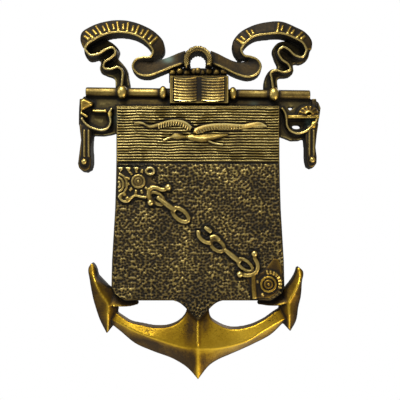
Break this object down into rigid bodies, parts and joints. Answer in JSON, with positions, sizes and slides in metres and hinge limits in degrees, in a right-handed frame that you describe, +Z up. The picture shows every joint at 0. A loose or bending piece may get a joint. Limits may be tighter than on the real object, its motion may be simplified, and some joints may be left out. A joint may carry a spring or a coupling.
{
  "type": "cast brass anchor wall plaque",
  "caption": "Cast brass wall plaque: an anchor behind a shield with a gull and a broken chain, an open book, ribbons and a rope hanging eye.",
  "frame": {"origin": "middle of the rope eye that the plaque hangs by, in the plane of the flat back", "axes": "+Z up along the anchor, +Y into the wall, +X to the viewer's right"},
  "size_m": [0.1443, 0.0155, 0.2127],
  "materials": {
    "aged_brass": "aged: dark brown patina in the recesses, worn bright on the high places"
  },
  "bodies": {
    "root": {"cast_plaque": "aged_brass"}
  },
  "joints": []
}
